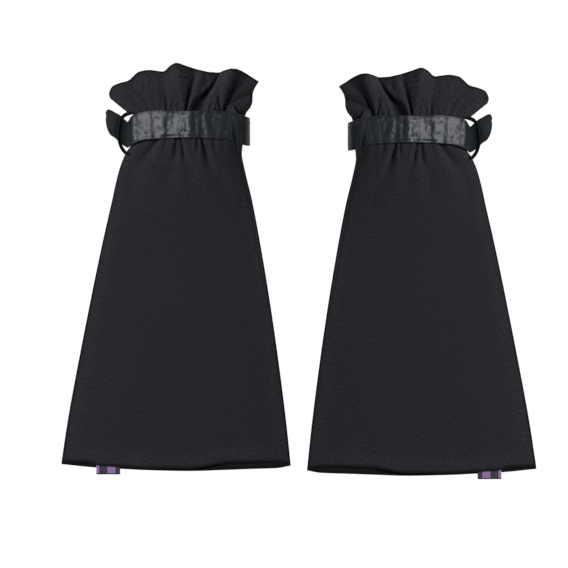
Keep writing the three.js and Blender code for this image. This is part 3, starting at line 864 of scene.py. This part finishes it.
def back_shape():
    band_rows = np.linspace(BAND_LOW, BAND_HIGH, BACK_BAND_POINTS)[1:-1]
    grid = panel(
        BACK_RUFFLE, BACK_COLUMNS, "back",
        lambda fold, share, y, x: back_leg(share, y, fold["z"] - SOLID_CLOTH / 2, x),
        grid_rows(*BACK_LEG_ROWS), band_rows, np.linspace(0, 1, BACK_RUFFLE_POINTS))
    points = np.stack([grid["x"], grid["y"], grid["z"]], -1)
    return grid, Wall(points, CLOTH + hem_step(grid), cut_place(grid, BACK_EDGE_SHADE))


def crumple(stations, shares):
    """Soft uneven dents of the strap, as heights over its length and the shares of its width."""
    heights = np.zeros((len(stations), len(shares)))
    for size, depth in CRUMPLES:
        for i, station in enumerate(stations):
            for j, share in enumerate(shares):
                place = Vector((station / size, share * CRUMPLE_WIDTH / size, size))
                heights[i, j] += depth * noise.noise(place)
    return heights


def strap_shape():
    """Strap as one long strip, whose normals point to the inside of its loop."""
    route = finer(STRAP_ROUTE, STRAP_STEPS)
    zero = np.zeros_like(route["x"])
    middles = np.stack([route["x"], (route["low"] + route["high"]) / 2, route["z"]], -1)
    halves = np.stack([zero, (route["high"] - route["low"]) / 2, zero], -1)
    s = np.sin(np.linspace(-np.pi / 2, np.pi / 2, STRAP_ACROSS))[None, :]
    x = route["x"][:, None]
    comes = step(route["count"], FRONT_RUN_FROM, FRONT_RUN_FROM + 1)
    on_front = (comes * (1 - step(route["count"], FRONT_RUN_TO, FRONT_RUN_TO + 1)))[:, None]
    relief = np.zeros((len(x), STRAP_ACROSS))
    for i in range(len(STRAP_WRINKLES["count"])):
        w = {name: STRAP_WRINKLES[name][i] for name in STRAP_WRINKLES}
        off = (x - w["x"] - w["lean"] * s / 2) / w["width"]
        starts = step(s, w["low"] - WRINKLE_FADE_OUT, w["low"] + WRINKLE_FADE_IN)
        ends = 1 - step(s, w["high"] - WRINKLE_FADE_IN, w["high"] + WRINKLE_FADE_OUT)
        relief -= w["depth"] * np.exp(-off * off) * starts * ends * on_front
    length = np.cumsum(np.hypot(np.gradient(route["x"]), np.gradient(route["z"])))
    relief += crumple(length, s[0]) * mix(TAIL_CRUMPLE, 1, on_front)
    inset = (route["high"] - route["low"])[:, None] / 2 * (1 - np.abs(s))
    relief -= EDGE_GROOVE * np.exp(-(((inset - STRAP_STITCH_INSET) / EDGE_GROOVE_WIDTH) ** 2))
    return strip(middles, -halves, STRAP, STRAP_ACROSS, -relief)


def tree_of(*shapes):
    """For finding the top of these walls under a place."""
    verts, faces, total = [], [], 0
    for shape in shapes:
        verts.extend(shape.verts.tolist())
        faces.extend((np.asarray(shape.faces) + total).tolist())
        total += len(shape.verts)
    return BVHTree.FromPolygons(verts, faces)


def top_at(tree, x, y):
    hit = tree.ray_cast(Vector((x, y, ABOVE_ALL)), Vector((0, 0, -1)))[0]
    return hit.z if hit else 0.0


def inner_carrier_shape(tree):
    """Strip over the strap, seated just above whatever its width meets first."""
    route = finer(INNER_CARRIER, CARRIER_STEPS)
    turn = np.radians(route["turn"])
    halves = np.stack([np.cos(turn), 0 * turn, -np.sin(turn)], -1) * INNER_WIDTH / 2
    heights = []
    for x, y, half in zip(route["x"], route["y"], halves):
        shares = np.linspace(-1, 1, CARRIER_SEATS)
        heights.append(max(top_at(tree, x + s * half[0], y) - s * half[2] for s in shares))
    heights = np.array(heights) + (CARRIER_LIFT + CARRIER / 2) / np.cos(turn)
    padded = np.pad(heights, SETTLE_WINDOW // 2, mode="edge")
    smooth = np.convolve(padded, np.ones(SETTLE_WINDOW) / SETTLE_WINDOW, mode="valid")
    heights = np.maximum(smooth, heights - CARRIER_SETTLE)
    middles = np.stack([route["x"], route["y"], heights], -1)
    s = np.sin(np.linspace(-np.pi / 2, np.pi / 2, CARRIER_ACROSS))
    crown = CARRIER_CROWN * (1 - s * s)
    # Painted light: the inner carrier's cloth is made lighter than the rest.
    return strip(middles, -halves, CARRIER, CARRIER_ACROSS, crown, INNER_PAINTED_LIGHT)


def outer_carrier_shape():
    route = finer(OUTER_CARRIER, CARRIER_STEPS)
    middles = np.stack([route["x"], route["y"], route["z"]], -1)
    run = unit(np.gradient(middles[:, :2], axis=0))
    lean = route["lean"][:, None]
    outwards = np.stack([run[:, 1], -run[:, 0]], -1)
    halves = np.concatenate([outwards * lean, np.sqrt(1 - lean**2)], -1) * OUTER_WIDTH / 2
    # Painted shade: the outer carrier's cloth is made darker than the rest.
    return strip(middles, halves, CARRIER, CARRIER_ACROSS, tone=OUTER_PAINTED_SHADE)


def tab_shape():
    route = finer(TAB_FOLD, TAB_STEPS)
    x = np.full_like(route["y"], TAB_LEFT + TAB_WIDTH / 2)
    middles = np.stack([x, route["y"], route["z"]], -1)
    halves = np.broadcast_to(np.array([TAB_WIDTH / 2, 0, 0]), middles.shape)
    return strip(middles, -halves, RIBBON, TAB_ACROSS)


def row_path(grid, shape, column, value):
    """Path on a wall's top along the place where a column of its grid has this value."""
    level = grid[column]
    after = (level > value).argmax(axis=0).clip(1)
    i = np.arange(level.shape[1])
    t = (value - level[after - 1, i]) / (level[after, i] - level[after - 1, i])
    path = mix(shape.top[after - 1, i], shape.top[after, i], t[:, None])
    return path, shape.normals[after, i]


def column_path(shape, inset, far_side):
    """Path at an inset from one of a strip's edges, on the side that its normals point to."""
    width = np.linalg.norm(shape.points[:, -1] - shape.points[:, 0], axis=-1)
    steps = np.linalg.norm(np.diff(shape.points, axis=1), axis=-1)
    place = np.concatenate([np.zeros((len(width), 1)), np.cumsum(steps, axis=1)], axis=1)
    path, normals = [], []
    for k in range(len(width)):
        if width[k] < 4 * inset:
            continue
        where = width[k] - inset if far_side else inset
        path.append([np.interp(where, place[k], shape.top[k, :, axis]) for axis in range(3)])
        normals.append(shape.normals[k, len(steps[k]) // 2])
    return np.array(path), np.array(normals)


# Materials


def shader(name):
    material = bpy.data.materials.new(name)
    material.use_nodes = True
    nodes, links = material.node_tree.nodes, material.node_tree.links
    return material, nodes, links, nodes["Principled BSDF"]


def node(nodes, kind, **values):
    """A node with some of its inputs or settings given."""
    made = nodes.new(kind)
    for name, value in values.items():
        title = name.replace("_", " ").title()
        if title in made.inputs:
            made.inputs[title].default_value = value
        else:
            setattr(made, name, value)
    return made


def math_node(nodes, links, operation, *values):
    made = nodes.new("ShaderNodeMath")
    made.operation = operation
    for socket, value in zip(made.inputs, values):
        if isinstance(value, bpy.types.NodeSocket):
            links.new(value, socket)
        else:
            socket.default_value = value
    return made.outputs[0]


def cut_coordinates(nodes, links, scale=(1, 1, 0)):
    place = node(nodes, "ShaderNodeAttribute", attribute_name="cut")
    mapping = nodes.new("ShaderNodeMapping")
    mapping.inputs["Scale"].default_value = scale
    links.new(place.outputs["Vector"], mapping.inputs["Vector"])
    return mapping.outputs["Vector"]


def noise_node(nodes, links, vector, scale, detail=2.0, roughness=0.5):
    made = node(nodes, "ShaderNodeTexNoise", scale=scale, detail=detail, roughness=roughness)
    links.new(vector, made.inputs["Vector"])
    return made.outputs["Fac"]


def ribs(nodes, links, place, pitch):
    """Wave over a place, once in each pitch."""
    turn = math_node(nodes, links, "MULTIPLY", place, 2 * np.pi / pitch)
    return math_node(nodes, links, "SINE", turn)


def colours(nodes, links, factor, stops):
    """Colour ramp through stops, each a place and a colour."""
    ramp = nodes.new("ShaderNodeValToRGB")
    ramp.color_ramp.elements[0].position = stops[0][0]
    ramp.color_ramp.elements[0].color = (*stops[0][1], 1)
    ramp.color_ramp.elements[1].position = stops[-1][0]
    ramp.color_ramp.elements[1].color = (*stops[-1][1], 1)
    for place, colour in stops[1:-1]:
        ramp.color_ramp.elements.new(place).color = (*colour, 1)
    links.new(factor, ramp.inputs["Fac"])
    return ramp.outputs["Color"]


def bump(nodes, links, height, distance, strength, under=None):
    made = node(nodes, "ShaderNodeBump", distance=distance, strength=strength)
    links.new(height, made.inputs["Height"])
    if under is not None:
        links.new(under, made.inputs["Normal"])
    return made.outputs["Normal"]


def cloth_material():
    """Black twill with a fine heather mottling and a little sheen, with painted shade along its edges
    and a painted lighter band inside them.
    """
    material, nodes, links, bsdf = shader("black_twill")
    place = cut_coordinates(nodes, links)
    split = nodes.new("ShaderNodeSeparateXYZ")
    links.new(place, split.inputs["Vector"])
    across, up = split.outputs["X"], split.outputs["Y"]
    mottle = noise_node(nodes, links, place, 0.55, 3.0, 0.65)
    streak = noise_node(nodes, links, cut_coordinates(nodes, links, (1.6, 0.35, 0)), 1.0, 2.0)
    shade = math_node(nodes, links, "MULTIPLY", mottle, 0.6)
    shade = math_node(nodes, links, "MULTIPLY_ADD", streak, 0.4, shade)
    # Painted shade and light from the cut's third place: darker along the edges and on the outer
    # carrier, lighter in a band inside the edges and on the inner carrier.
    edges = nodes.new("ShaderNodeSeparateXYZ")
    links.new(cut_coordinates(nodes, links, (0, 0, 1)), edges.inputs["Vector"])
    shade = math_node(nodes, links, "MULTIPLY_ADD", edges.outputs["Z"], 0.5, shade)
    gathered = node(nodes, "ShaderNodeMapRange", from_min=GATHERED_FROM, from_max=GATHERED_TO)
    links.new(up, gathered.inputs["Value"])
    # The mottled patches grow where the painted lighter band is, and towards the neck.
    lifted = math_node(nodes, links, "MULTIPLY", edges.outputs["Z"], 8)
    amount = math_node(nodes, links, "MAXIMUM", lifted, gathered.outputs["Result"])
    patches = noise_node(nodes, links, place, 0.32, 3.0, 0.65)
    patches = math_node(nodes, links, "MULTIPLY_ADD", patches, 0.55, -0.275)
    shade = math_node(nodes, links, "MULTIPLY_ADD", patches, amount, shade)
    links.new(colours(nodes, links, shade, CLOTH_TONES), bsdf.inputs["Base Color"])
    diagonal = math_node(nodes, links, "ADD", across, up)
    twill = ribs(nodes, links, diagonal, TWILL_PITCH)
    fibre = noise_node(nodes, links, place, 2.2, 3.0, 0.7)
    normal = bump(nodes, links, twill, 0.00006, 0.5)
    normal = bump(nodes, links, fibre, 0.00016, 0.7, normal)
    normal = bump(nodes, links, noise_node(nodes, links, place, 0.35, 2.0), 0.0004, 0.5, normal)
    rumple = noise_node(nodes, links, cut_coordinates(nodes, links, (1, 0.6, 0)), 0.16, 3.0, 0.6)
    height = math_node(nodes, links, "MULTIPLY", rumple, gathered.outputs["Result"])
    normal = bump(nodes, links, height, 0.0016, 0.8, normal)
    links.new(normal, bsdf.inputs["Normal"])
    bsdf.inputs["Roughness"].default_value = 0.92
    bsdf.inputs["Specular IOR Level"].default_value = 0.20
    bsdf.inputs["Sheen Weight"].default_value = 0.05
    bsdf.inputs["Sheen Roughness"].default_value = 0.6
    return material


def strap_material():
    """Black faux leather with fine grain, soft crinkles and a satin gloss."""
    material, nodes, links, bsdf = shader("faux_leather")
    place = cut_coordinates(nodes, links)
    grain = node(nodes, "ShaderNodeTexVoronoi", scale=1.4)
    links.new(place, grain.inputs["Vector"])
    crinkle = noise_node(nodes, links, cut_coordinates(nodes, links, (0.5, 0.28, 1)), 1.0, 3.0, 0.6)
    worn = noise_node(nodes, links, place, 0.25, 3.0, 0.6)
    normal = bump(nodes, links, grain.outputs["Distance"], 0.00004, 0.3)
    normal = bump(nodes, links, crinkle, 0.0003, 0.5, normal)
    links.new(normal, bsdf.inputs["Normal"])
    links.new(colours(nodes, links, worn, STRAP_TONES), bsdf.inputs["Base Color"])
    rough = node(nodes, "ShaderNodeMapRange", to_min=0.26, to_max=0.38)
    links.new(worn, rough.inputs["Value"])
    links.new(rough.outputs["Result"], bsdf.inputs["Roughness"])
    bsdf.inputs["Specular IOR Level"].default_value = 0.185
    return material


def tab_material():
    """Woven ribbon in a plain purple and black check."""
    material, nodes, links, bsdf = shader("check_ribbon")
    place = cut_coordinates(nodes, links)
    split = nodes.new("ShaderNodeSeparateXYZ")
    links.new(place, split.inputs["Vector"])

    def bands(value, shift):
        moved = math_node(nodes, links, "ADD", value, shift)
        part = math_node(nodes, links, "FRACT", math_node(nodes, links, "DIVIDE", moved, CHECK))
        return math_node(nodes, links, "GREATER_THAN", part, 0.5)

    lengthwise = bands(split.outputs["X"], CHECK_ALONG)
    crosswise = bands(split.outputs["Y"], CHECK_ACROSS)
    total = math_node(nodes, links, "ADD", lengthwise, crosswise)
    shade = math_node(nodes, links, "DIVIDE", total, 2.0)
    links.new(colours(nodes, links, shade, CHECK_TONES), bsdf.inputs["Base Color"])
    thread = ribs(nodes, links, split.outputs["X"], RIBBON_PITCH)
    links.new(bump(nodes, links, thread, 0.00006, 0.5), bsdf.inputs["Normal"])
    bsdf.inputs["Roughness"].default_value = 0.6
    bsdf.inputs["Specular IOR Level"].default_value = 0.3
    return material


def thread_material(name, colour):
    """Matt sewing thread with a twist."""
    material, nodes, links, bsdf = shader(name)
    place = cut_coordinates(nodes, links)
    twist = noise_node(nodes, links, place, 3.0, 2.0)
    dark = tuple(0.7 * c for c in colour)
    stops = ((0.35, dark), (0.65, colour))
    links.new(colours(nodes, links, twist, stops), bsdf.inputs["Base Color"])
    bsdf.inputs["Roughness"].default_value = 0.7
    bsdf.inputs["Specular IOR Level"].default_value = 0.25
    return material


# Build the shapes once, then place each of them left and right

cloth = cloth_material()
leather = strap_material()
ribbon = tab_material()
cloth_thread = thread_material("cloth_thread", CLOTH_THREAD)
strap_thread = thread_material("strap_thread", STRAP_THREAD)

front_grid, front = front_shape()
back_grid, back = back_shape()
strap = strap_shape()
carrier_tree = tree_of(front, strap)
inner_carrier = inner_carrier_shape(carrier_tree)
outer_carrier = outer_carrier_shape()
tab = tab_shape()

hem_stitches = Joined()
stitch_run(hem_stitches, *row_path(front_grid, front, "up", HEM_DEPTH - HEM_STITCH_INSET))
ruffle_stitches = Joined()
ruffle_row = 1 - (RUFFLE_HEM - RUFFLE_STITCH_INSET) / RUFFLE_LENGTH
stitch_run(ruffle_stitches, *row_path(front_grid, front, "ruffle", ruffle_row))
strap_stitches = Joined()
for far_side in (False, True):
    stitch_run(strap_stitches, *column_path(strap, STRAP_STITCH_INSET, far_side))

placed = {"left": [], "right": []}
for side in placed:
    mirrored = side == "right"

    def place_piece(name, shape, material, replaced=True):
        node_name = f"{side}_{name}"
        nodes = [node_name] if replaced else []
        piece = make(node_name + "_piece", shape, material, mirrored, nodes)
        placed[side].append(piece)
        return piece

    front_piece = place_piece("front", front, cloth)
    back_piece = place_piece("back", back, cloth)
    place_piece("strap", strap, leather)
    place_piece("inner_carrier", inner_carrier, cloth)
    place_piece("outer_carrier", outer_carrier, cloth)
    place_piece("tab", tab, ribbon)
    hem_thread = place_piece("hem_stitches", hem_stitches, cloth_thread, False)
    ruffle_thread = place_piece("ruffle_stitches", ruffle_stitches, cloth_thread, False)
    place_piece("strap_stitches", strap_stitches, strap_thread, False)


# Studio


def studio_floor():
    mesh = bpy.data.meshes.new("floor")
    corners = [(-1, -1), (1, -1), (1, 1), (-1, 1)]
    verts = [(x * FLOOR_REACH, y * FLOOR_REACH, FLOOR_Z) for x, y in corners]
    mesh.from_pydata(verts, [], [(0, 1, 2, 3)])
    material, _, _, bsdf = shader("studio_white")
    bsdf.inputs["Base Color"].default_value = (0.35, 0.35, 0.35, 1)
    bsdf.inputs["Roughness"].default_value = 0.9
    bsdf.inputs["Specular IOR Level"].default_value = 0.1
    bsdf.inputs["Emission Color"].default_value = (1, 1, 1, 1)
    bsdf.inputs["Emission Strength"].default_value = 1.0
    mesh.materials.append(material)
    floor = bpy.data.objects.new("floor", mesh)
    bpy.context.scene.collection.objects.link(floor)


def softbox(name, side, outward, height, width, depth, power, lit):
    """Area light beside one leg warmer, which lights only the pieces it is given."""
    data = bpy.data.lights.new(name, "AREA")
    data.shape = "RECTANGLE"
    data.size = width
    data.size_y = depth
    data.energy = power
    data.color = SOFTBOX_COLOUR
    light = bpy.data.objects.new(name, data)
    light.location = (side * outward, SOFTBOX_Y, height)
    aim = Vector((side * HALF_SPACING * MM, SOFTBOX_AIM_Y, 0))
    light.rotation_euler = (aim - light.location).to_track_quat("-Z", "Y").to_euler()
    bpy.context.scene.collection.objects.link(light)
    group = bpy.data.collections.new(name + "_lights")
    for piece in lit:
        group.objects.link(piece)
    light.light_linking.receiver_collection = group


def studio_light():
    for side, name in ((-1, "left"), (1, "right")):
        leather = [piece for piece in placed[name] if "strap" in piece.name]
        softbox("key_" + name, side, *KEY, placed[name])
        softbox("fill_" + name, side, *FILL, leather)
    world = bpy.data.worlds.new("studio")
    world.use_nodes = True
    background = world.node_tree.nodes["Background"]
    background.inputs["Color"].default_value = WORLD_COLOUR
    background.inputs["Strength"].default_value = 1.0
    bpy.context.scene.world = world


def camera():
    """Straight above, with the picture's width in millimetres measured at the floor."""
    data = bpy.data.cameras.new("camera")
    data.sensor_width = SENSOR_WIDTH
    data.lens = SENSOR_WIDTH * CAMERA_HEIGHT / PICTURE_WIDTH
    data.clip_end = CAMERA_SIGHT
    made = bpy.data.objects.new("camera", data)
    made.location = (*CAMERA_PLACE, CAMERA_HEIGHT * MM)
    bpy.context.scene.collection.objects.link(made)
    bpy.context.scene.camera = made
    bpy.context.scene.view_settings.view_transform = "Standard"


studio_floor()
studio_light()
camera()
